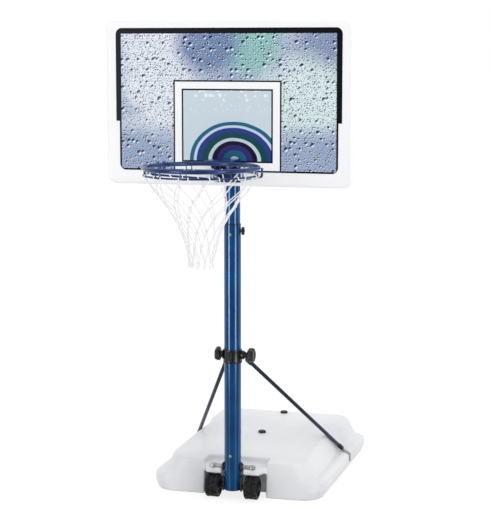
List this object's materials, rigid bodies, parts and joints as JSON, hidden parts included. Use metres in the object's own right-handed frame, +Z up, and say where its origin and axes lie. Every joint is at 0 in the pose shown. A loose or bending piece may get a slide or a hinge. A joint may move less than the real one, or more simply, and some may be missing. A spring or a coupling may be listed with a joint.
{
  "type": "poolside basketball hoop",
  "caption": "Free-standing poolside basketball hoop: a water-filled base with a telescoping pole, bracing struts, a moulded backboard, a steel rim and a cord net.",
  "frame": {"origin": "on the floor, under the middle of the base tank", "axes": "+Z up, -Y towards the side that the rim is on, +X to the right of someone who faces the board"},
  "size_m": [1.118, 1.7815, 2.155],
  "materials": {
    "tank_plastic": "white blow-moulded polyethylene, satin",
    "ballast": "water, stands in as a solid",
    "cap_plastic": "black moulded plastic, satin",
    "pole_paint": "glossy blue powder coat on steel tube",
    "black_plastic": "black moulded plastic, satin",
    "knob_plastic": "black moulded plastic with soft edges",
    "zinc_steel": "dull zinc-plated steel",
    "wheel_plastic": "black moulded plastic, matt",
    "strut_paint": "dark navy powder coat on steel tube",
    "board_plastic": "white blow-moulded polyethylene, satin",
    "graphic_film": "printed film with a water droplet pattern",
    "rim_paint": "glossy blue powder coat on steel",
    "net_cord": "white braided cord"
  },
  "bodies": {
    "base": {"base_tank": "tank_plastic", "ballast_fill": "ballast", "pole_lower": "pole_paint", "pole_bushing": "black_plastic", "bushing_screw": "zinc_steel", "foot_bolt": "zinc_steel", "lock_boss": "pole_paint", "pivot_rod": "zinc_steel", "axle_saddle": "black_plastic", "wheel_axle": "zinc_steel", "rod_bush_left": "black_plastic", "rod_bush_right": "black_plastic", "rod_clamp_left": "zinc_steel", "rod_clamp_right": "zinc_steel", "axle_spacer_left": "black_plastic", "axle_spacer_right": "black_plastic", "axle_cap_left": "black_plastic", "axle_cap_right": "black_plastic", "strut_collar": "black_plastic", "collar_stud_left": "zinc_steel", "collar_stud_right": "zinc_steel"},
    "upper": {"pole_upper": "pole_paint", "pole_cap": "black_plastic", "board_panel": "board_plastic", "board_graphic": "graphic_film", "board_mount_lower": "zinc_steel", "board_mount_upper": "zinc_steel", "mount_bolt_lower": "zinc_steel", "mount_bolt_upper": "zinc_steel", "mount_nut_lower": "zinc_steel", "mount_nut_upper": "zinc_steel", "mount_screw_1": "zinc_steel", "mount_screw_2": "zinc_steel", "mount_screw_3": "zinc_steel", "mount_screw_4": "zinc_steel", "rim_ring": "rim_paint", "rim_bracket": "rim_paint", "rim_bolt_1": "zinc_steel", "rim_bolt_2": "zinc_steel", "rim_bolt_3": "zinc_steel", "rim_bolt_4": "zinc_steel", "rim_brace_left": "rim_paint", "rim_brace_right": "rim_paint", "net": "net_cord"},
    "lock_knob": {"lock_knob": "knob_plastic"},
    "strut_knob_left": {"strut_knob_left": "knob_plastic"},
    "strut_knob_right": {"strut_knob_right": "knob_plastic"},
    "strut_left": {"strut_tube_left": "strut_paint", "strut_eye_left": "black_plastic", "strut_boot_left": "black_plastic", "strut_hook_left": "zinc_steel"},
    "strut_right": {"strut_tube_right": "strut_paint", "strut_eye_right": "black_plastic", "strut_boot_right": "black_plastic", "strut_hook_right": "zinc_steel"},
    "wheel_left": {"wheel_left": "wheel_plastic"},
    "wheel_right": {"wheel_right": "wheel_plastic"},
    "fill_cap_front": {"fill_cap_front": "cap_plastic"},
    "fill_cap_rear": {"fill_cap_rear": "cap_plastic"}
  },
  "joints": [
    {"name": "height_slide", "type": "slide", "parent": "base", "child": "upper", "axis": [0, 0, 1], "range_m": [-0.15, 0.3]},
    {"name": "lock_knob_turn", "type": "hinge", "parent": "base", "child": "lock_knob", "pos_m": [0.049, -0.5495, 1.225], "axis": [1, 0, 0], "continuous": true},
    {"name": "strut_knob_left_turn", "type": "hinge", "parent": "base", "child": "strut_knob_left", "pos_m": [-0.065, -0.5495, 0.664], "axis": [1, 0, 0], "continuous": true},
    {"name": "strut_knob_right_turn", "type": "hinge", "parent": "base", "child": "strut_knob_right", "pos_m": [0.08, -0.5495, 0.664], "axis": [1, 0, 0], "continuous": true},
    {"name": "strut_left_swing", "type": "hinge", "parent": "base", "child": "strut_left", "pos_m": [-0.05, -0.5495, 0.664], "axis": [1, 0, 0], "range_deg": [0, 90]},
    {"name": "strut_right_swing", "type": "hinge", "parent": "base", "child": "strut_right", "pos_m": [0.057, -0.5495, 0.664], "axis": [1, 0, 0], "range_deg": [0, 90]},
    {"name": "wheel_left_spin", "type": "hinge", "parent": "base", "child": "wheel_left", "pos_m": [-0.091, -0.5495, 0.053], "axis": [1, 0, 0], "continuous": true},
    {"name": "wheel_right_spin", "type": "hinge", "parent": "base", "child": "wheel_right", "pos_m": [0.091, -0.5495, 0.053], "axis": [1, 0, 0], "continuous": true},
    {"name": "fill_cap_front_lift", "type": "slide", "parent": "base", "child": "fill_cap_front", "axis": [0, 0, 1], "range_m": [0, 0.03]},
    {"name": "fill_cap_rear_lift", "type": "slide", "parent": "base", "child": "fill_cap_rear", "axis": [0, 0, 1], "range_m": [0, 0.03]}
  ]
}
